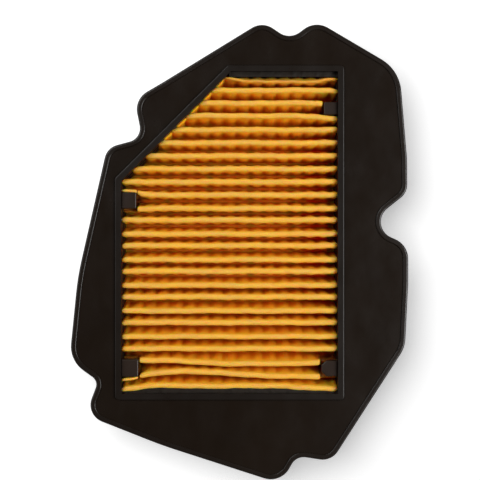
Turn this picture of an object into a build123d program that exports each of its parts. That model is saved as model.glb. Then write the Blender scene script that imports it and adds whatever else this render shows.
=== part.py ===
from build123d import *
import math
import os

# Panel air filter element for a scooter or small motorcycle airbox.
#
# A pleated paper pack sits in a five-sided tray. The tray hangs in a flat flange plate, and a rubber
# seal runs round the plate's edge, where the two halves of the airbox clamp it. Notches in the flange
# clear the airbox's screw bosses.
#
# Millimetres, +Z up. The drawing's X and Y are moved at the end so that the origin is under the middle
# of the flange. Z = 0 is the bottom of the tray. +Y is the flange's long direction, and the pleats'
# folds run along X.

# Flange outline: (x, y, corner radius), clockwise from the hump left of the top notch.
FLANGE_CORNERS = [
    (10.2, 101.5, 8.5),
    (22.2, 93.4, 7.5),  # bottom of the top notch
    (33.6, 101.9, 9.5),
    (70.6, 80.1, 18),
    (73.9, 41, 60),
    (74.0, 26, 7.5),
    (55.5, 11.2, 7.4),  # bottom of the U notch in the right side
    (74.4, 3.1, 9.5),
    (74.4, -14, 100),
    (73.0, -42.1, 14),
    (40.6, -92.4, 8),
    (25.1, -90.0, 6),  # bottom of the lower notch
    (18.4, -102.3, 9.5),
    (-34, -85.4, 200),
    (-67.9, -72.0, 8),
    (-62.2, -57.1, 4),  # bottom of the lower left notch
    (-74.9, -47.9, 13),
    (-71.2, -10.9, 120),
    (-58.3, 45.8, 7.5),
    (-42.8, 50.0, 6),  # bottom of the upper left notch
    (-46.3, 67.2, 9),
    (-34, 74.4, 60),
]

# Inside of the tray in plan. The upper left corner is cut off by the line y - x = TRAY_CUT.
TRAY_LEFT = -52.0
TRAY_RIGHT = 43.4
TRAY_LOW = -62.6
TRAY_HIGH = 79.4
TRAY_CUT = 83.2
TRAY_WALL = 1.7
TRAY_CORNER = 0.6
LEDGE_WIDTH = 3.0
LEDGE_THICK = 1.6
LIP_WIDTH = 2.7
LIP_THICK = 1.0
LIP_CORNER = 1.8
LIP_ROUND = 0.35
TRAY_FOOT_ROUND = 0.8

# Pleated paper. The folds' radius is to the middle of the paper.
PLEAT_COUNT = 25
PLEAT_PITCH = 5.617
FIRST_FOLD_Y = 76.1
PAPER_THICK = 0.6
FOLD_RADIUS = 0.8
PACK_HEIGHT = 22.0
PACK_LEFT = -51.75
PACK_RIGHT = 43.15
PACK_CUT = 82.85

# Heights
GRID_THICK = 1.6
PACK_BOTTOM = LEDGE_THICK + GRID_THICK
PACK_TOP = PACK_BOTTOM + PACK_HEIGHT
PLATE_BOTTOM = 23.8
PLATE_THICK = 2.2
PLATE_TOP = PLATE_BOTTOM + PLATE_THICK
LIP_TOP = PLATE_TOP + LIP_THICK

# Rubber seal: a channel round the edge of the plate
SEAL_WEB = 1.2
SEAL_WIDTH = 2.3
SEAL_LIP = 0.6
SEAL_OUTER_ROUND = 0.8
SEAL_INNER_ROUND = 0.4

# Collar under the plate, and the gussets that stiffen it
FIT_GAP = 0.05
COLLAR_WALL = 1.8
COLLAR_DEPTH = 8.0
COLLAR_CORNER = 3.6
GUSSET_LENGTH = 5.5
GUSSET_HEIGHT = 6.5
GUSSET_THICK = 1.6
GUSSET_SPOTS = {
    "right": [-50, -20, 35, 62],
    "left": [-45, -20, 5],
    "low": [-40, -15, 10, 34],
    "high": [8, 34],
    "cut": [-6, 18],
}

# Support grid under the paper
GRID_BORDER = 3.4
GRID_BAR = 2.0
GRID_CORNER = 1.0
GRID_LONG_BARS = 4
GRID_CROSS_BARS = 6

# Lugs that hold the paper down: (lowest x, highest x, lowest y, highest y, cut off the nose's corners).
# Each touches one side wall.
LUGS = [
    (TRAY_LEFT, -45.5, 19.0, 26.1, 0.4),
    (TRAY_LEFT, -44.6, -55.2, -47.5, 0.4),
    (37.3, TRAY_RIGHT, 60.4, 66.0, 0.4),
    (36.2, TRAY_RIGHT, -55.0, -48.0, 2.1),
]
LUG_TOP = 25.5
LUG_ROOT_HEIGHT = 6.5
LUG_NOSE_HEIGHT = 1.6
LUG_ROUND = 0.4
LUG_CLEARANCE = 0.15

# Adhesive round the paper, and the hot melt beads that space the pleats from below. At the two walls
# beside an end pleat the adhesive comes up to where the flank turns into the fold.
GLUE_HEIGHT = 15.0
GLUE_END_GAP = 0.7
SIDE_GLUE_GAP = 3.2
BEAD_COUNT = 4
BEAD_WIDTH = 2.0
BEAD_HEIGHT = 4.0
MELT_CLEARANCE = 0.02

# The tilt of a pleat's flank from upright: a straight line that touches a fold circle at each end.
FOLD_RISE = PACK_HEIGHT - PAPER_THICK - 2 * FOLD_RADIUS
HALF_PITCH = PLEAT_PITCH / 2
FLANK_TILT = math.atan2(HALF_PITCH, FOLD_RISE) - math.asin(
    2 * FOLD_RADIUS / math.hypot(HALF_PITCH, FOLD_RISE)
)
UPPER_CENTRE_Z = PACK_TOP - PAPER_THICK / 2 - FOLD_RADIUS
LOWER_CENTRE_Z = PACK_BOTTOM + PAPER_THICK / 2 + FOLD_RADIUS


def slab(face, low, high):
    """A flat outline as a solid from height low to height high."""
    return Pos(0, 0, low) * extrude(face, high - low, dir=(0, 0, 1))


def flange_outline(inset):
    """The flange's outline, moved inward by inset."""
    corners = [(x, y) for x, y, radius in FLANGE_CORNERS]
    radii = [radius for x, y, radius in FLANGE_CORNERS]
    face = make_face(FilletPolyline(*corners, radius=radii, close=True))
    if inset == 0:
        return face
    return offset(face, amount=-inset, kind=Kind.ARC)


def tray_corners(grow):
    """The tray's five inside corners, moved outward by grow."""
    left = TRAY_LEFT - grow
    right = TRAY_RIGHT + grow
    low = TRAY_LOW - grow
    high = TRAY_HIGH + grow
    cut = TRAY_CUT + grow * math.sqrt(2)
    return [(left, low), (right, low), (right, high), (high - cut, high), (left, left + cut)]


def tray_outline(grow, corner_radius):
    """The tray's inside outline, moved outward by grow."""
    return make_face(FilletPolyline(*tray_corners(grow), radius=corner_radius, close=True))


def polygon(points):
    return make_face(Polyline(*points, close=True))


def flange_plate():
    """Flat plate with the tray's opening, a collar under it and gussets round the collar."""
    collar_inside = TRAY_WALL + FIT_GAP
    collar_outside = collar_inside + COLLAR_WALL
    collar_bottom = PLATE_BOTTOM - COLLAR_DEPTH
    opening = slab(tray_outline(collar_inside, TRAY_CORNER + TRAY_WALL), collar_bottom, PLATE_TOP)
    plate = slab(flange_outline(SEAL_WEB), PLATE_BOTTOM, PLATE_TOP)
    plate += slab(tray_outline(collar_outside, COLLAR_CORNER), collar_bottom, PLATE_BOTTOM)
    for place in gusset_places(collar_outside):
        plate += place * gusset()
    return plate - opening


def gusset():
    """A triangle under the plate, pointing along +X from the collar's face."""
    root = -COLLAR_WALL / 2
    corners = [(root, 0), (GUSSET_LENGTH, 0), (0, -GUSSET_HEIGHT), (root, -GUSSET_HEIGHT)]
    side = Plane.XZ * polygon(corners)
    return Pos(0, 0, PLATE_BOTTOM) * extrude(side, GUSSET_THICK / 2, both=True)


def gusset_places(reach):
    """Where the gussets stand: on the collar's outside face, pointing away from the tray."""
    left, right = TRAY_LEFT - reach, TRAY_RIGHT + reach
    low, high = TRAY_LOW - reach, TRAY_HIGH + reach
    cut = TRAY_CUT + reach * math.sqrt(2)
    places = [Pos(right, y, 0) for y in GUSSET_SPOTS["right"]]
    places += [Pos(left, y, 0) * Rot(0, 0, 180) for y in GUSSET_SPOTS["left"]]
    places += [Pos(x, low, 0) * Rot(0, 0, -90) for x in GUSSET_SPOTS["low"]]
    places += [Pos(x, high, 0) * Rot(0, 0, 90) for x in GUSSET_SPOTS["high"]]
    cut_middle = (TRAY_LEFT + TRAY_HIGH - TRAY_CUT) / 2
    for along in GUSSET_SPOTS["cut"]:
        x = cut_middle + along / math.sqrt(2)
        places.append(Pos(x, x + cut, 0) * Rot(0, 0, 135))
    return places


def perimeter_seal():
    """Rubber channel over the plate's edge, rounded outside and along the edge of each lip."""
    low = PLATE_BOTTOM - SEAL_LIP
    high = PLATE_TOP + SEAL_LIP
    body = slab(flange_outline(0), low, high)
    body = fillet(body.edges().filter_by_position(Axis.Z, low, low), SEAL_OUTER_ROUND)
    body = fillet(body.edges().filter_by_position(Axis.Z, high, high), SEAL_OUTER_ROUND)
    body -= slab(flange_outline(SEAL_WIDTH), low, high)
    for end in (0, -1):
        land = body.faces().sort_by(Axis.Z)[end]
        body = fillet(land.inner_wires()[0].edges(), SEAL_INNER_ROUND)
    return body - slab(flange_outline(SEAL_WEB), PLATE_BOTTOM, PLATE_TOP)


def element_tray():
    """Open box with a lip at the top, which rests on the plate, and a narrow ledge at the bottom."""
    tray = slab(tray_outline(TRAY_WALL, TRAY_CORNER + TRAY_WALL), 0, LIP_TOP)
    tray = fillet(tray.edges().filter_by_position(Axis.Z, 0, 0), TRAY_FOOT_ROUND)
    lip = slab(tray_outline(LIP_WIDTH, LIP_CORNER), PLATE_TOP, LIP_TOP)
    lip = fillet(lip.edges().filter_by_position(Axis.Z, LIP_TOP, LIP_TOP), LIP_ROUND)
    tray += lip
    tray -= slab(tray_outline(0, TRAY_CORNER), LEDGE_THICK, LIP_TOP)
    tray -= slab(tray_outline(-LEDGE_WIDTH, TRAY_CORNER), 0, LEDGE_THICK)
    return tray


def support_grid():
    """Flat grid that lies on the tray's ledge and carries the paper's lower folds."""
    low, high = LEDGE_THICK, PACK_BOTTOM
    outside = tray_outline(-FIT_GAP, TRAY_CORNER)
    border = slab(outside, low, high) - slab(tray_outline(-GRID_BORDER, GRID_CORNER), low, high)
    width = TRAY_RIGHT - TRAY_LEFT
    height = TRAY_HIGH - TRAY_LOW
    bars = []
    for number in range(1, GRID_LONG_BARS + 1):
        x = TRAY_LEFT + width * number / (GRID_LONG_BARS + 1)
        bars.append(Pos(x, TRAY_LOW + height / 2) * Rectangle(GRID_BAR, height))
    for number in range(1, GRID_CROSS_BARS + 1):
        y = TRAY_LOW + height * number / (GRID_CROSS_BARS + 1)
        bars.append(Pos(TRAY_LEFT + width / 2, y) * Rectangle(width, GRID_BAR))
    grid = border
    for bar in bars:
        grid += slab(bar & outside, low, high)
    return grid


def paper_boundary(upper):
    """One face of the folded paper, as edges in the YZ plane from the +Y end to the -Y end."""
    edges = []
    last = None
    half = PAPER_THICK / 2 if upper else -PAPER_THICK / 2
    for fold in range(2 * PLEAT_COUNT - 1):
        is_top = fold % 2 == 0
        y = FIRST_FOLD_Y - fold * HALF_PITCH
        z = UPPER_CENTRE_Z if is_top else LOWER_CENTRE_Z
        side = 1 if is_top else -1
        radius = FOLD_RADIUS + side * half
        reach = radius * math.cos(FLANK_TILT)
        rise = side * radius * math.sin(FLANK_TILT)
        start = (0, y + reach, z + rise)
        end = (0, y - reach, z + rise)
        if last is None:
            slope = (start[2] - PACK_BOTTOM) * math.tan(FLANK_TILT)
            last = (0, start[1] + slope, PACK_BOTTOM)
        edges.append(Line(last, start))
        edges.append(ThreePointArc(start, (0, y, z + side * radius), end))
        last = end
    slope = (last[2] - PACK_BOTTOM) * math.tan(FLANK_TILT)
    edges.append(Line(last, (0, last[1] - slope, PACK_BOTTOM)))
    return edges


def pleated_media():
    """The folded paper, cut off along the tray's corner and pressed down under the lugs."""
    upper = paper_boundary(True)
    lower = paper_boundary(False)
    ends = [Line(upper[0] @ 0, lower[0] @ 0), Line(upper[-1] @ 1, lower[-1] @ 1)]
    profile = make_face(Wire(upper + lower + ends))
    pack = Pos(PACK_LEFT, 0, 0) * extrude(profile, PACK_RIGHT - PACK_LEFT, dir=(1, 0, 0))
    corner = [
        (TRAY_LEFT, TRAY_LEFT + PACK_CUT),
        (TRAY_HIGH - PACK_CUT, TRAY_HIGH),
        (TRAY_LEFT, TRAY_HIGH),
    ]
    pack -= slab(polygon(corner), 0, PACK_TOP + 1)
    for x_low, x_high, y_low, y_high, _ in LUGS:
        room = Box(
            x_high - x_low + 2 * LUG_CLEARANCE,
            y_high - y_low + 2 * LUG_CLEARANCE,
            LUG_ROOT_HEIGHT + LUG_CLEARANCE,
            align=(Align.CENTER, Align.CENTER, Align.MIN),
        )
        bottom = LUG_TOP - LUG_ROOT_HEIGHT - LUG_CLEARANCE
        pack -= Pos((x_low + x_high) / 2, (y_low + y_high) / 2, bottom) * room
    return pack


def hold_down_lug(x_low, x_high, y_low, y_high, nose_cut):
    """A hook bonded to a side wall: flat on top, tapering in height to a nose with its corners cut off."""
    root_x, nose_x = (x_low, x_high) if x_low == TRAY_LEFT else (x_high, x_low)
    side = [
        (root_x, LUG_TOP),
        (nose_x, LUG_TOP),
        (nose_x, LUG_TOP - LUG_NOSE_HEIGHT),
        (root_x, LUG_TOP - LUG_ROOT_HEIGHT),
    ]
    length = y_high - y_low
    lug = Pos(0, (y_low + y_high) / 2, 0) * extrude(Plane.XZ * polygon(side), length / 2, both=True)
    nose_corners = lug.edges().filter_by(Axis.Z).group_by(SortBy.LENGTH)[0]
    lug = chamfer(nose_corners, nose_cut)
    return fillet(lug.edges().filter_by_position(Axis.Z, LUG_TOP, LUG_TOP), LUG_ROUND)


def side_glue(x_low, x_high, y_high):
    """Adhesive between the pleats' ends and a side wall, up to y_high."""
    y_low = TRAY_LOW + SIDE_GLUE_GAP
    outline = [(x_low, y_low), (x_high, y_low), (x_high, y_high), (x_low, y_high)]
    return slab(polygon(outline), PACK_BOTTOM, PACK_BOTTOM + GLUE_HEIGHT)


def corner_glue():
    """Adhesive between the pleats' ends and the wall that cuts off the tray's corner."""
    low = TRAY_LEFT + GLUE_END_GAP
    high = TRAY_HIGH - TRAY_CUT - GLUE_END_GAP
    inner = [(low, low + PACK_CUT), (high, high + PACK_CUT)]
    outer = [(high, high + TRAY_CUT), (low, low + TRAY_CUT)]
    return slab(polygon(inner + outer), PACK_BOTTOM, PACK_BOTTOM + GLUE_HEIGHT)


def end_glue(fold_y, wall_y, x_low):
    """Adhesive that fills the tray from x_low on, between an end pleat's outer flank and the wall."""
    away = 1 if wall_y > fold_y else -1
    outer_radius = FOLD_RADIUS + PAPER_THICK / 2
    beside_fold = outer_radius * math.cos(FLANK_TILT) + MELT_CLEARANCE
    flank_top = UPPER_CENTRE_Z + outer_radius * math.sin(FLANK_TILT)
    foot = beside_fold + (flank_top - PACK_BOTTOM) * math.tan(FLANK_TILT)
    section = [
        (wall_y, PACK_BOTTOM),
        (fold_y + away * foot, PACK_BOTTOM),
        (fold_y + away * beside_fold, flank_top),
        (wall_y, flank_top),
    ]
    strip = extrude(Plane.YZ * polygon(section), TRAY_RIGHT - x_low, dir=(1, 0, 0))
    return (Pos(x_low, 0, 0) * strip) & slab(tray_outline(0, TRAY_CORNER), PACK_BOTTOM, flank_top)


def glue_strips():
    """Adhesive between the paper and each of the tray's five walls."""
    left_high = TRAY_LEFT + PACK_CUT - GLUE_END_GAP
    right_high = TRAY_HIGH - SIDE_GLUE_GAP
    corner_end = TRAY_HIGH - TRAY_CUT - GLUE_END_GAP
    last_fold = FIRST_FOLD_Y - (PLEAT_COUNT - 1) * PLEAT_PITCH
    return {
        "left": side_glue(TRAY_LEFT, PACK_LEFT, left_high),
        "right": side_glue(PACK_RIGHT, TRAY_RIGHT, right_high),
        "low": end_glue(last_fold, TRAY_LOW, TRAY_LEFT),
        "high": end_glue(FIRST_FOLD_Y, TRAY_HIGH, corner_end + FIT_GAP),
        "corner": corner_glue(),
    }


def spacer_bead(x):
    """One line of hot melt: a drop between the two flanks of every pleat that the line crosses."""
    low = LOWER_CENTRE_Z
    high = low + BEAD_HEIGHT
    inner_radius = FOLD_RADIUS - PAPER_THICK / 2
    at_centre = inner_radius / math.cos(FLANK_TILT) - MELT_CLEARANCE
    half_low = at_centre + (UPPER_CENTRE_Z - low) * math.tan(FLANK_TILT)
    half_high = at_centre + (UPPER_CENTRE_Z - high) * math.tan(FLANK_TILT)
    drops = []
    for pleat in range(PLEAT_COUNT):
        y = FIRST_FOLD_Y - pleat * PLEAT_PITCH
        if y + HALF_PITCH - (x - BEAD_WIDTH) > PACK_CUT:
            continue
        bottom = [(y - half_low, low), (y + half_low, low)]
        top = [(y + half_high, high), (y - half_high, high)]
        face = Plane.YZ * polygon(bottom + top)
        drops.append(Pos(x, 0, 0) * extrude(face, BEAD_WIDTH / 2, both=True))
    return Compound(drops)


def build():
    nodes = {
        "flange_plate": flange_plate(),
        "perimeter_seal": perimeter_seal(),
        "element_tray": element_tray(),
        "support_grid": support_grid(),
        "pleated_media": pleated_media(),
    }
    for name, strip in glue_strips().items():
        nodes["edge_glue_" + name] = strip
    for number in range(BEAD_COUNT):
        x = PACK_LEFT + (PACK_RIGHT - PACK_LEFT) * (number + 0.5) / BEAD_COUNT
        nodes[f"spacer_bead_{number + 1}"] = spacer_bead(x)
    for number, box in enumerate(LUGS):
        nodes[f"hold_down_lug_{number + 1}"] = hold_down_lug(*box)
    return nodes


os.makedirs("parts", exist_ok=True)
middle = flange_outline(0).bounding_box().center()
for name, shape in build().items():
    export_step(Pos(-middle.X, -middle.Y, 0) * shape, f"parts/{name}.step")
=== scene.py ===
import math

import bpy
import numpy as np
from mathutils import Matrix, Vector


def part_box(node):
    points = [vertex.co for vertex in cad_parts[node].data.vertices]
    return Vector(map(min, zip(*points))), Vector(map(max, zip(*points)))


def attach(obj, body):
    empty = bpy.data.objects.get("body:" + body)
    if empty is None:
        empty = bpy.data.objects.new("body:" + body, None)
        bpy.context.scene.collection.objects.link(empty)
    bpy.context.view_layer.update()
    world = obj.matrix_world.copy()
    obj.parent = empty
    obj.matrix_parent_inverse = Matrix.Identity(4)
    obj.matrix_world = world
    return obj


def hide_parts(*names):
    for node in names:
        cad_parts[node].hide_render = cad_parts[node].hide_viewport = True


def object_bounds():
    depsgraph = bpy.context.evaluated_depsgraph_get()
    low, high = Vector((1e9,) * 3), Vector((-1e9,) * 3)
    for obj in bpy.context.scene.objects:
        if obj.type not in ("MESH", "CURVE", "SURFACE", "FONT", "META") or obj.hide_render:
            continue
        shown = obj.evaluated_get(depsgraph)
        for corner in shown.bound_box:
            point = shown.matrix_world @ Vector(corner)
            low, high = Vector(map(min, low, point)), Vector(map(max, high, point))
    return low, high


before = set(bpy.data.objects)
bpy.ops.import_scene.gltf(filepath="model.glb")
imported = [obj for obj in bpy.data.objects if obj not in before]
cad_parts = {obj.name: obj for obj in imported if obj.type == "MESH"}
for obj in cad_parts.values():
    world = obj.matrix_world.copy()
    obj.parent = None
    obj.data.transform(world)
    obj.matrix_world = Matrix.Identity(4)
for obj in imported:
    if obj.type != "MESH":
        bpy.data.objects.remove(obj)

# Looks of a panel air filter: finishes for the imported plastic, rubber and adhesive parts, and the
# folded, corrugated paper as a mesh of its own. The paper is worked out in millimetres. Everything
# handed to Blender is in metres.

MM = 0.001
CAD_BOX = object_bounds()
rng = np.random.default_rng(25)

# Folded paper. The radius is to the middle of the paper. The columns near each wall are closer together.
PLEATS = 25
PITCH = 5.617
PAPER_HALF = 0.24
FOLD_RADIUS = 0.95
TOP_FOLD_ROWS = 7
LOW_FOLD_ROWS = 3
FLANK_PARTS = (0.09, 0.28, 0.68)
END_COLUMNS = (
    0, 0.18, 0.4, 0.7, 1.1, 1.6, 2.3, 3.1, 4.0, 4.8, 5.3, 5.6, 5.9, 6.2, 6.5, 6.8, 7.1, 7.5, 8.1
)
MIDDLE_COLUMNS = 72

# Corrugation: ribs that run down the flanks, in step on every flank
RIB_PERIOD = 5.95
RIB_PHASE = 1.7
RIB_HEIGHT = 0.38
RIB_FADE = 6.0
RIB_BREADTH = 1.6
RIB_START = 1.5

# How far the upper folds lean from their even spacing, as (pleat, shift), and by how much odd and even
# pleats differ in the middle of the pack. The flanks lean from the height LEAN_FROM up.
LEAN = [
    (0, -0.95), (1, 0.8), (3, 0.8), (4, 0.2), (9, -0.5), (16, -0.85), (21, -1.05), (22, -1.2), (24, -0.75)
]
STAGGER = 0.26
STAGGERED_PLEATS = range(10, 21)
LEAN_FROM = 6.0

# The first fold is narrower than the others. Its outer flank stands against the adhesive, so only the top
# of that flank leans.
FIRST_FOLD_WIDTH = 0.45
FIRST_FLANK_LEAN_DEPTH = 4.0

# Slow wander of each upper fold: (wavelength, share). Each fold draws eight phases in Y and eight in Z, and
# the wander uses the first four of each.
WANDER = ((43, 0.10), (17, 0.08), (7.9, 0.05), (3.4, 0.025))
PHASES_DRAWN = 8

# Bends of single upper folds, as (x, shift) along the fold, added to their lean
BENDS = {
    0: [(-7, 1.9), (-3, 1.2), (2, 0), (34, 0), (38, 0.8), (43, 0.9)],
    1: [(34, 0), (40, -0.1), (43, -0.7)],
    2: [(26, 0), (38, -0.2)],
    3: [(25, 0), (33, -0.5), (38, -1.1), (43, -1.4)],
    9: [(-52, 1.8), (-46, 1.7), (-43.5, 0.4), (-40, 0)],
    10: [(-47, -0.4), (-38, 0)],
    22: [(-45, 0.6), (-28, 0.4), (-4, -0.9), (20, -0.9), (36, -0.2)],
    23: [(-52, -2.5), (-47, -2.2), (-43, -0.6), (-36, 0.7), (-24, 1.2), (-4, 0.2), (12, -0.8), (30, -1.2)],
    24: [(-52, -1.5), (-47, -1.0), (-40, 0.1), (-28, 0.3), (-10, 0), (20, 0.1), (33, -0.9), (43, -1.2)],
}

# Pleat ends: rounded tips at the walls, and narrow webs of paper between the pleats at the cut corner
TIP_LENGTH = 1.4
TIP_PINCH = 0.4
TIP_DROP = 0.5
CORNER_WEBS = range(0, 5)
WEB_LENGTH = 0.5
WEB_DROP = 1.8
WEB_SAG = 1.2

# Folds that run under a lug are pressed down to a share of their height. The two that only pass beside a
# lug are squeezed, from the x of its nose to the wall.
LUG_CLEARANCE = 0.4
LUG_GAP = 0.15
PRESSED_HEIGHT = 0.66
PRESS_LENGTH = 0.7
SQUEEZED_BY_LUG = {9: -45.5, 23: -44.6}
SQUEEZE = 0.55
SQUEEZE_LEAD = 0.2
SQUEEZE_LENGTH = 2.2

LUGS = ["hold_down_lug_1", "hold_down_lug_2", "hold_down_lug_3", "hold_down_lug_4"]

# Colours of the paper, linear
# The colour low on the flanks is painted shade: redder and darker than higher up.
LOW_FLANK_PAINTED_SHADE = (0.97, 0.345, 0.004)
HIGH_FLANK = (0.98, 0.46, 0.010)
DRY_CREST = (0.64, 0.355, 0.072)
# The two colours below are painted shade: the bottom of the valleys and, darker still, the lower folds.
VALLEY_PAINTED_SHADE = (0.72, 0.27, 0.004)
LOWER_FOLD_PAINTED_SHADE = (0.56, 0.22, 0.003)
# The colour below darkens the paper next to the high wall.
DARKER_BY_HIGH_WALL = (0.34, 0.15, 0.02)
CLOUD = (0.87, 0.37, 0.018)
# The colour below is painted shade on the low paper round the lugs.
LUG_PAINTED_SHADE = (0.10, 0.035, 0.004)
BRIGHT_FIBRE = (1.0, 0.72, 0.26)

# Soft square lights, each 1 m from the origin, which is under the middle of the object: (name, degrees from
# +X towards +Y, degrees from the vertical, size in metres, watts, link). INCLUDE lets a light shine on the
# floor alone, and EXCLUDE on everything but the floor.
LIGHTS = [
    ("key", 138, 40, 0.5, 5.3, "EXCLUDE"),
    ("side", -6, 42, 0.55, 12.5, "EXCLUDE"),
    ("fill", 180, 50, 0.5, 1.6, "EXCLUDE"),
    ("floor_light", 138, 22, 0.8, 9.7, "INCLUDE"),
]

# Strength of the even light from all round, and of the floor's own glow
AMBIENT = 0.03
FLOOR_GLOW = 0.47

# Camera, in metres: its height over the flange, the width that it sees there, and the middle of its view
CAMERA_HEIGHT = 0.6
VIEW_WIDTH = 0.2114
VIEW_MIDDLE = (0.0002, 0.0053)


def smooth(low, high, value):
    """0 below low, 1 above high, and a smooth rise between."""
    share = np.clip((value - low) / (high - low), 0, 1)
    return share * share * (3 - 2 * share)


def box_mm(node):
    low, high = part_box(node)
    return np.array(low) / MM, np.array(high) / MM


def section_rows(z_low, z_high):
    """The even section from +Y to -Y, one row for each point: its pleat, offset from the fold, height."""
    upper = z_high - PAPER_HALF - FOLD_RADIUS
    lower = z_low + PAPER_HALF + FOLD_RADIUS
    half_pitch = PITCH / 2
    height = upper - lower
    tilt = math.atan2(half_pitch, height) - math.asin(2 * FOLD_RADIUS / math.hypot(half_pitch, height))
    reach = FOLD_RADIUS * math.cos(tilt)
    rise = FOLD_RADIUS * math.sin(tilt)
    top = np.array([reach, upper + rise])
    foot = np.array([half_pitch - reach, lower - rise])
    flank = [top + (foot - top) * part for part in FLANK_PARTS]
    top_angles = np.linspace(tilt, math.pi - tilt, TOP_FOLD_ROWS)
    low_angles = np.linspace(tilt, math.pi - tilt, LOW_FOLD_ROWS + 1)[:-1]
    rows = []
    for pleat in range(PLEATS):
        rows.append((pleat, foot[0], foot[1]))
        rows += [(pleat, y, z) for y, z in reversed(flank)]
        for angle in top_angles:
            rows.append((pleat, FOLD_RADIUS * math.cos(angle), upper + FOLD_RADIUS * math.sin(angle)))
        rows += [(pleat, -y, z) for y, z in flank]
        if pleat == PLEATS - 1:
            rows.append((pleat, -foot[0], foot[1]))
            continue
        for angle in low_angles:
            y = -half_pitch + FOLD_RADIUS * math.cos(angle)
            rows.append((pleat, y, lower - FOLD_RADIUS * math.sin(angle)))
    table = np.array(rows)
    return table[:, 0].astype(int), table[:, 1], table[:, 2]


def fold_shift(pleat, x):
    """How far a pleat's upper fold lies from its even place at each x."""
    shift = np.interp(pleat, *zip(*LEAN)) + np.zeros_like(x)
    if pleat in STAGGERED_PLEATS:
        shift += STAGGER if pleat % 2 else -STAGGER
    if pleat in BENDS:
        # The bend is sampled every 0.25 mm, and its corners are rounded over about 2 mm.
        along = np.linspace(-60, 50, 441)
        bend = np.interp(along, *zip(*BENDS[pleat]))
        width = 9
        kernel = np.hanning(width + 2)
        bend = np.convolve(np.pad(bend, width // 2 + 1, mode="edge"), kernel / kernel.sum(), mode="valid")
        shift += np.interp(x, along, bend)
    return shift


def rib_profile(x):
    """1 on a rib, -1 in the narrower groove between two ribs."""
    share = (1 - np.cos(2 * math.pi * (x - RIB_PHASE) / RIB_PERIOD)) / 2
    return 1 - 2 * share**RIB_BREADTH


def sheet_normals(points):
    """Unit normals of a grid of points whose rows run from +Y to -Y and whose columns run along X."""
    across = np.gradient(points, axis=0)
    along = np.gradient(points, axis=1)
    normal = np.cross(across, along)
    return normal / np.linalg.norm(normal, axis=2, keepdims=True)


def pressed_share(x, fold, lug_low, lug_high):
    """1 where a fold runs under a lug, 0 clear of it, and a steep slope at the lug's nose."""
    under_y = (fold > lug_low[1] - LUG_CLEARANCE) & (fold < lug_high[1] + LUG_CLEARANCE)
    if lug_low[0] < 0:
        nose = lug_high[0] + LUG_GAP
        return (1 - smooth(nose, nose + PRESS_LENGTH, x)) * under_y
    nose = lug_low[0] - LUG_GAP
    return smooth(nose - PRESS_LENGTH, nose, x) * under_y


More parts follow.
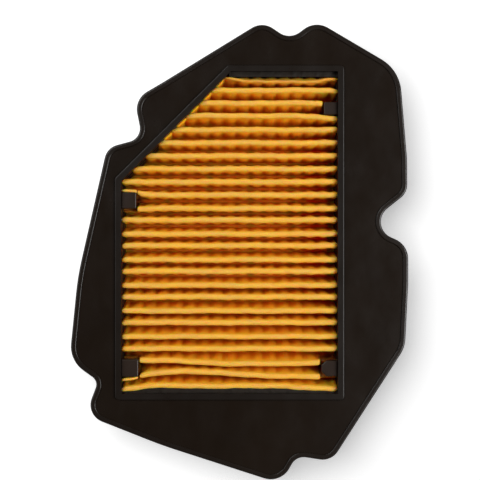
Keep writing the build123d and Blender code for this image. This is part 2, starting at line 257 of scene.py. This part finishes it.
def paper_surface():
    """The middle of the folded paper, as a grid of points in millimetres."""
    low, high = box_mm("pleated_media")
    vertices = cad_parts["pleated_media"].data.vertices
    cut = max(vertex.co.y - vertex.co.x for vertex in vertices) / MM
    first_fold = (low[1] + high[1]) / 2 + PITCH * (PLEATS - 1) / 2
    pleats, offsets, heights = section_rows(low[2], high[2])
    top = heights.max()
    bottom = heights.min()
    upper_centre = top - FOLD_RADIUS
    lugs = [box_mm(name) for name in LUGS]
    middle = np.linspace(0, 1, MIDDLE_COLUMNS + 2)[1:-1]
    ends = np.array(END_COLUMNS)
    phases = {pleat: (rng.random(PHASES_DRAWN), rng.random(PHASES_DRAWN)) for pleat in range(PLEATS)}

    rows = []
    for pleat, offset, height in zip(pleats, offsets, heights):
        fold_y = first_fold - pleat * PITCH
        lean_from = LEAN_FROM
        if pleat == 0 and offset > 0:
            lean_from = upper_centre - FIRST_FLANK_LEAN_DEPTH
        weight = smooth(lean_from, upper_centre, height)

        # The columns run from the cut corner or the left wall to the right wall.
        start_guess = max(low[0], fold_y + offset - cut)
        start_shift = fold_shift(pleat, np.array([start_guess]))[0] * weight
        start = max(low[0], fold_y + offset + start_shift - cut)
        left = start + ends
        right = high[0] - ends[::-1]
        x = np.concatenate([left, left[-1] + (right[0] - left[-1]) * middle, right])

        shift = fold_shift(pleat, x)
        wobble = np.zeros_like(x)
        dip = np.zeros_like(x)
        for (length, share), phase_y, phase_z in zip(WANDER, *phases[pleat]):
            wobble += share * np.sin(2 * math.pi * (x / length + phase_y))
            dip += share * (1 + np.sin(2 * math.pi * (x / length + phase_z)))
        middle_y = fold_y + (shift + wobble) * weight

        # Rounded tips: both flanks draw together and the fold drops near each wall.
        from_wall = np.minimum(x - start, high[0] - x)
        near = np.clip(1 - from_wall / TIP_LENGTH, 0, 1)
        rounding = 1 - np.sqrt(1 - near * near)
        narrow = 1 - TIP_PINCH * rounding * weight
        if pleat == 0:
            narrow = narrow * (1 - (1 - FIRST_FOLD_WIDTH) * weight)
        if pleat in SQUEEZED_BY_LUG:
            nose = SQUEEZED_BY_LUG[pleat]
            beside = 1 - smooth(nose - SQUEEZE_LEAD, nose + SQUEEZE_LENGTH, x)
            narrow = narrow * (1 - SQUEEZE * beside * weight)
        y = middle_y + offset * narrow
        z = height - (TIP_DROP * rounding + dip) * weight

        for lug_low, lug_high in lugs:
            pressed = pressed_share(x, fold_y + shift, lug_low, lug_high)
            z = bottom + (z - bottom) * (1 - (1 - PRESSED_HEIGHT) * pressed)

        # Webs close the valleys at the tray's cut corner.
        valley = pleat if offset < 0 else pleat - 1
        if valley in CORNER_WEBS and abs(offset) > FOLD_RADIUS * 0.5:
            sag = WEB_DROP + WEB_SAG * math.sin(math.pi * (offset / PITCH % 1)) ** 2
            web = 1 - smooth(0.1, WEB_LENGTH, x - start)
            z = z + (np.maximum(top - sag, z) - z) * web
        rows.append(np.stack([x, y, z], axis=1))
    surface = np.array(rows)

    # Ribs stand out from the flanks and fade towards the folds.
    from_fold = np.clip(np.minimum(upper_centre - heights, heights - (bottom + FOLD_RADIUS)), 0, None)
    rib = RIB_HEIGHT * smooth(0, RIB_FADE, from_fold)
    x = surface[:, :, 0]
    from_end = np.minimum(x - x[:, :1], x[:, -1:] - x)
    amount = rib[:, None] * rib_profile(x) * smooth(0, RIB_START, from_end)
    return surface + sheet_normals(surface) * amount[:, :, None]


def grid_faces(rows, columns, first, turned):
    """Quads of a grid of vertices that starts at number first."""
    corner = first + np.arange(rows - 1)[:, None] * columns + np.arange(columns - 1)[None, :]
    corner = corner.reshape(-1)
    quads = np.stack([corner, corner + columns, corner + columns + 1, corner + 1], axis=1)
    return quads[:, ::-1] if turned else quads


def rim_faces(rows, columns):
    """Quads that close the gap between the two grids, round their shared border."""
    count = rows * columns
    border = list(range(columns))
    border += [row * columns + columns - 1 for row in range(1, rows)]
    border += [(rows - 1) * columns + column for column in range(columns - 2, -1, -1)]
    border += [row * columns for row in range(rows - 2, 0, -1)]
    border = np.array(border)
    after = np.roll(border, -1)
    return np.stack([border, after, after + count, border + count], axis=1)


def folded_paper():
    """The paper as one closed sheet with its real thickness."""
    middle = paper_surface()
    normals = sheet_normals(middle)
    rows, columns = middle.shape[:2]
    upper = middle + normals * PAPER_HALF
    lower = middle - normals * PAPER_HALF
    points = np.concatenate([upper.reshape(-1, 3), lower.reshape(-1, 3)]) * MM
    faces = np.concatenate([
        grid_faces(rows, columns, 0, False),
        grid_faces(rows, columns, rows * columns, True),
        rim_faces(rows, columns),
    ])
    mesh = bpy.data.meshes.new("folded_paper")
    mesh.from_pydata(points.tolist(), [], faces.tolist())
    mesh.validate()
    mesh.shade_smooth()
    mesh.set_sharp_from_angle(angle=math.radians(60))
    paper = bpy.data.objects.new("folded_paper", mesh)
    bpy.context.scene.collection.objects.link(paper)
    return paper


class Finish:
    """A node material whose pattern follows the object's own coordinates, in metres."""

    def __init__(self, name):
        self.material = bpy.data.materials.new(name)
        self.material.use_nodes = True
        self.tree = self.material.node_tree
        self.shader = self.tree.nodes["Principled BSDF"]
        self.place = self.tree.nodes.new("ShaderNodeTexCoord").outputs["Object"]

    def set(self, **values):
        """Sets inputs of the shader: base_color sets Base Color, and so on."""
        for name, value in values.items():
            socket = self.shader.inputs[name.replace("_", " ").title().replace("Ior", "IOR")]
            self.join(value, socket)

    def join(self, value, socket):
        """Links a node's output to the socket, or puts a plain value in it."""
        if isinstance(value, bpy.types.NodeSocket):
            self.tree.links.new(value, socket)
        elif socket.type == "RGBA":
            socket.default_value = (*value, 1)
        else:
            socket.default_value = value

    def noise(self, size, detail=3, roughness=0.55, stretch=(1, 1, 1)):
        """Noise from 0 to 1 with features of about size metres."""
        mapping = self.tree.nodes.new("ShaderNodeMapping")
        mapping.inputs["Scale"].default_value = stretch
        self.tree.links.new(self.place, mapping.inputs["Vector"])
        node = self.tree.nodes.new("ShaderNodeTexNoise")
        node.inputs["Scale"].default_value = 1 / size
        node.inputs["Detail"].default_value = detail
        node.inputs["Roughness"].default_value = roughness
        self.tree.links.new(mapping.outputs["Vector"], node.inputs["Vector"])
        return node.outputs["Fac"]

    def dots(self, spacing, radius, share):
        """1 in small round dots: one dot at most for each cell of that spacing, in that share of cells."""
        node = self.tree.nodes.new("ShaderNodeTexVoronoi")
        node.inputs["Scale"].default_value = 1 / spacing
        self.tree.links.new(self.place, node.inputs["Vector"])
        near = self.ramp(node.outputs["Distance"], radius / spacing * 1.15, radius / spacing * 0.7)
        split = self.tree.nodes.new("ShaderNodeSeparateColor")
        self.tree.links.new(node.outputs["Color"], split.inputs["Color"])
        chosen = self.math("LESS_THAN", split.outputs["Red"], share)
        return self.math("MULTIPLY", near, chosen)

    def math(self, operation, a, b=0.0):
        node = self.tree.nodes.new("ShaderNodeMath")
        node.operation = operation
        self.join(a, node.inputs[0])
        self.join(b, node.inputs[1])
        return node.outputs[0]

    def axis(self, name):
        """One coordinate of the place, in metres."""
        node = self.tree.nodes.new("ShaderNodeSeparateXYZ")
        self.tree.links.new(self.place, node.inputs["Vector"])
        return node.outputs[name]

    def ramp(self, value, start, end, low=0.0, high=1.0):
        """value taken from start..end to low..high, and held beyond them."""
        node = self.tree.nodes.new("ShaderNodeMapRange")
        for name, number in (("From Min", start), ("From Max", end), ("To Min", low), ("To Max", high)):
            node.inputs[name].default_value = number
        self.join(value, node.inputs["Value"])
        return node.outputs["Result"]

    def mix(self, share, a, b, blend="MIX"):
        """Colour a where share is 0 and colour b where it is 1."""
        node = self.tree.nodes.new("ShaderNodeMix")
        node.data_type = "RGBA"
        node.blend_type = blend
        self.join(share, node.inputs[0])
        self.join(a, node.inputs[6])
        self.join(b, node.inputs[7])
        return node.outputs[2]

    def bump(self, height, depth, strength=1.0, under=None):
        """Bumps of that depth in metres, on top of another bump."""
        node = self.tree.nodes.new("ShaderNodeBump")
        node.inputs["Distance"].default_value = depth
        node.inputs["Strength"].default_value = strength
        self.tree.links.new(height, node.inputs["Height"])
        if under is not None:
            self.tree.links.new(under, node.inputs["Normal"])
        return node.outputs["Normal"]


def low_beside_lug(finish, name):
    """1 on the paper that lies low round a lug, and 0 elsewhere: where the paper gets its painted shade."""
    low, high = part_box(name)
    paper_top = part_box("pleated_media")[1].z
    side = 1 if high.x > 0 else -1
    nose = min(abs(low.x), abs(high.x))
    outward = finish.math("MULTIPLY", finish.axis("X"), side)
    by_wall = finish.ramp(outward, nose - 2.6 * MM, nose - 0.4 * MM)
    off_middle = finish.math("SUBTRACT", finish.axis("Y"), (low.y + high.y) / 2)
    off_middle = finish.math("ABSOLUTE", off_middle)
    half = (high.y - low.y) / 2
    beside = finish.ramp(off_middle, half + 2.0 * MM, half + 0.9 * MM)
    deep = finish.ramp(finish.axis("Z"), paper_top - 1.2 * MM, paper_top - 3.0 * MM)
    return finish.math("MULTIPLY", deep, finish.math("MULTIPLY", by_wall, beside))


def amber_paper():
    """Oil treated filter paper: pale and dry along the upper folds, deep orange down the flanks with
    painted shade that makes them redder and darker lower down, painted shade at the bottom of the valleys
    and on the low paper round the lugs, and darker next to the high wall."""
    finish = Finish("amber_paper")
    low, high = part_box("pleated_media")
    height = finish.axis("Z")
    # Painted shade: the flank colour turns redder and darker lower down.
    flank = finish.ramp(height, high.z - 11 * MM, high.z - 2 * MM)
    colour = finish.mix(flank, LOW_FLANK_PAINTED_SHADE, HIGH_FLANK)
    crest = finish.ramp(height, high.z - 1.9 * MM, high.z - 0.1 * MM)
    colour = finish.mix(crest, colour, DRY_CREST)
    # Painted shade: darker at the bottom of the valleys, darkest in the lower folds.
    bottom = finish.ramp(height, low.z + 8 * MM, low.z + 1 * MM)
    colour = finish.mix(bottom, colour, VALLEY_PAINTED_SHADE)
    lower_fold_shade = finish.ramp(height, low.z + 3.5 * MM, low.z + 1 * MM)
    colour = finish.mix(lower_fold_shade, colour, LOWER_FOLD_PAINTED_SHADE)
    # Darker next to the high wall, over the first pleat.
    by_high_wall = finish.ramp(finish.axis("Y"), high.y - 5.4 * MM, high.y - 3.2 * MM, 0, 0.5)
    colour = finish.mix(by_high_wall, colour, DARKER_BY_HIGH_WALL)
    clouds = finish.ramp(finish.noise(7 * MM, 4), 0.3, 0.7)
    colour = finish.mix(finish.math("MULTIPLY", clouds, 0.3), colour, CLOUD)
    # Painted shade on the low paper beside each lug.
    for name in LUGS:
        lug_shade = finish.math("MULTIPLY", low_beside_lug(finish, name), 0.85)
        colour = finish.mix(lug_shade, colour, LUG_PAINTED_SHADE)
    fibres = finish.noise(0.35 * MM, 4, 0.7, stretch=(0.5, 1, 1))
    colour = finish.mix(finish.ramp(fibres, 0.55, 0.8, 0, 0.35), colour, BRIGHT_FIBRE)
    finish.set(base_color=colour)
    finish.set(roughness=finish.ramp(fibres, 0.3, 0.7, 0.5, 0.72))
    fine = finish.bump(fibres, 0.09 * MM, 0.6)
    finish.set(normal=finish.bump(finish.noise(1.4 * MM, 3), 0.25 * MM, 0.5, fine))
    finish.set(specular_ior_level=0.2)
    finish.set(subsurface_weight=1.0, subsurface_scale=1.6 * MM)
    finish.shader.inputs["Subsurface Radius"].default_value = (1.0, 0.32, 0.05)
    return finish.material


def moulded(name, colour, cloud, grain, rough, dust=0.0):
    """Dark moulded plastic or rubber with a fine grain, faint clouds and a little dust."""
    finish = Finish(name)
    clouds = finish.ramp(finish.noise(30 * MM, 3), 0.3, 0.7)
    shade = finish.mix(clouds, colour, cloud)
    texture = finish.noise(0.5 * MM, 3, 0.6)
    shade = finish.mix(finish.ramp(texture, 0.35, 0.75, 0, 0.25), shade, [2.0 * c for c in colour])
    if dust:
        specks = finish.dots(9 * MM, 0.16 * MM, dust)
        shade = finish.mix(specks, shade, (0.16, 0.15, 0.14))
    finish.set(base_color=shade)
    scuffs = finish.noise(9 * MM, 3, 0.55, stretch=(1, 0.6, 1))
    finish.set(roughness=finish.ramp(scuffs, 0.3, 0.7, rough - 0.03, rough + 0.03))
    fine = finish.bump(texture, grain, 0.7)
    finish.set(normal=finish.bump(finish.noise(14 * MM, 2), 0.25 * MM, 0.3, fine))
    finish.set(specular_ior_level=0.3)
    return finish.material


def sealing_adhesive():
    """Dark poured adhesive, uneven and half glossy, with pale fibre ends in it."""
    finish = Finish("sealing_adhesive")
    clouds = finish.ramp(finish.noise(4 * MM, 3), 0.3, 0.7)
    shade = finish.mix(clouds, (0.0060, 0.0038, 0.0022), (0.0105, 0.0066, 0.0036))
    fibre_ends = finish.dots(3.5 * MM, 0.22 * MM, 0.22)
    shade = finish.mix(finish.math("MULTIPLY", fibre_ends, 0.6), shade, (0.10, 0.08, 0.055))
    finish.set(base_color=shade)
    finish.set(roughness=finish.ramp(finish.noise(2 * MM), 0.3, 0.7, 0.38, 0.55), specular_ior_level=0.2)
    finish.set(normal=finish.bump(finish.noise(3 * MM, 3), 0.5 * MM, 0.6))
    return finish.material


def hot_melt():
    """Translucent amber hot melt."""
    finish = Finish("hot_melt")
    clouds = finish.ramp(finish.noise(2.5 * MM, 3), 0.3, 0.7)
    finish.set(base_color=finish.mix(clouds, (0.62, 0.40, 0.12), (0.75, 0.55, 0.24)))
    finish.set(roughness=finish.ramp(finish.noise(1.2 * MM), 0.3, 0.7, 0.2, 0.38))
    finish.set(normal=finish.bump(finish.noise(1.5 * MM, 2), 0.3 * MM, 0.6))
    return finish.material


def paint(node, material):
    """Gives a CAD node its finish."""
    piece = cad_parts[node]
    if not piece.material_slots:
        piece.data.materials.append(material)
    for holder in piece.material_slots:
        holder.material = material


def paint_parts():
    grain = 0.012 * MM
    dust = 0.1
    plate = moulded("flange_plastic", (0.0056, 0.0032, 0.0017), (0.0078, 0.0047, 0.0028), grain, 0.25, dust)
    rubber = moulded("seal_rubber", (0.0064, 0.0041, 0.0027), (0.0084, 0.0056, 0.0040), grain, 0.28)
    tray = moulded("tray_plastic", (0.0056, 0.0037, 0.0025), (0.0076, 0.0051, 0.0036), grain, 0.3)
    grid = moulded("grid_plastic", (0.0110, 0.0095, 0.0085), (0.0140, 0.0120, 0.0100), 0.02 * MM, 0.45)
    lug = moulded("lug_plastic", (0.0130, 0.0075, 0.0050), (0.0160, 0.0098, 0.0068), grain, 0.32)
    adhesive = sealing_adhesive()
    melt = hot_melt()
    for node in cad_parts:
        if node.startswith("edge_glue"):
            paint(node, adhesive)
        elif node.startswith("spacer_bead"):
            paint(node, melt)
        elif node in LUGS:
            paint(node, lug)
    paint("flange_plate", plate)
    paint("perimeter_seal", rubber)
    paint("element_tray", tray)
    paint("support_grid", grid)


def add_floor():
    """Plain pale floor at the height of the tray's bottom. An even glow lightens the shadow on it."""
    bpy.ops.mesh.primitive_plane_add(size=60, location=(0, 0, CAD_BOX[0].z))
    floor = bpy.context.object
    floor.name = "floor"
    finish = Finish("floor_white")
    finish.set(base_color=(0.88, 0.88, 0.88), roughness=0.9, specular_ior_level=0.1)
    finish.set(emission_color=(1, 1, 1), emission_strength=FLOOR_GLOW)
    floor.data.materials.append(finish.material)
    return floor


def add_light(name, turn, tilt, size, power):
    """A square soft light that points at the origin from 1 m away, turned and tilted in degrees."""
    lamp = bpy.data.lights.new(name, "AREA")
    lamp.shape = "SQUARE"
    lamp.size = size
    lamp.energy = power
    light = bpy.data.objects.new(name, lamp)
    bpy.context.scene.collection.objects.link(light)
    turn = math.radians(turn)
    tilt = math.radians(tilt)
    away = Vector((math.sin(tilt) * math.cos(turn), math.sin(tilt) * math.sin(turn), math.cos(tilt)))
    light.location = away
    light.rotation_euler = away.to_track_quat("Z", "Y").to_euler()
    return light


def add_lights(floor):
    """Three lights for the object, and one for the floor that casts the object's soft shadow."""
    for name, turn, tilt, size, power, link_state in LIGHTS:
        light = add_light(name, turn, tilt, size, power)
        receivers = bpy.data.collections.new(name + "_receivers")
        receivers.objects.link(floor)
        receivers.collection_objects[0].light_linking.link_state = link_state
        light.light_linking.receiver_collection = receivers
    world = bpy.data.worlds.new("studio")
    world.use_nodes = True
    world.node_tree.nodes["Background"].inputs["Color"].default_value = (1, 1, 1, 1)
    world.node_tree.nodes["Background"].inputs["Strength"].default_value = AMBIENT
    bpy.context.scene.world = world


def add_camera():
    """Straight above the flange, with +Y up in the picture."""
    lens = bpy.data.cameras.new("camera")
    lens.sensor_width = 36
    lens.lens = lens.sensor_width * CAMERA_HEIGHT / VIEW_WIDTH
    lens.dof.use_dof = False
    camera = bpy.data.objects.new("camera", lens)
    flange_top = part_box("flange_plate")[1].z
    camera.location = (*VIEW_MIDDLE, flange_top + CAMERA_HEIGHT)
    bpy.context.scene.collection.objects.link(camera)
    bpy.context.scene.camera = camera


paper = folded_paper()
paper.data.materials.append(amber_paper())
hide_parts("pleated_media")
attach(paper, "root")
paint_parts()
add_lights(add_floor())
add_camera()
bpy.context.scene.view_settings.view_transform = "Standard"
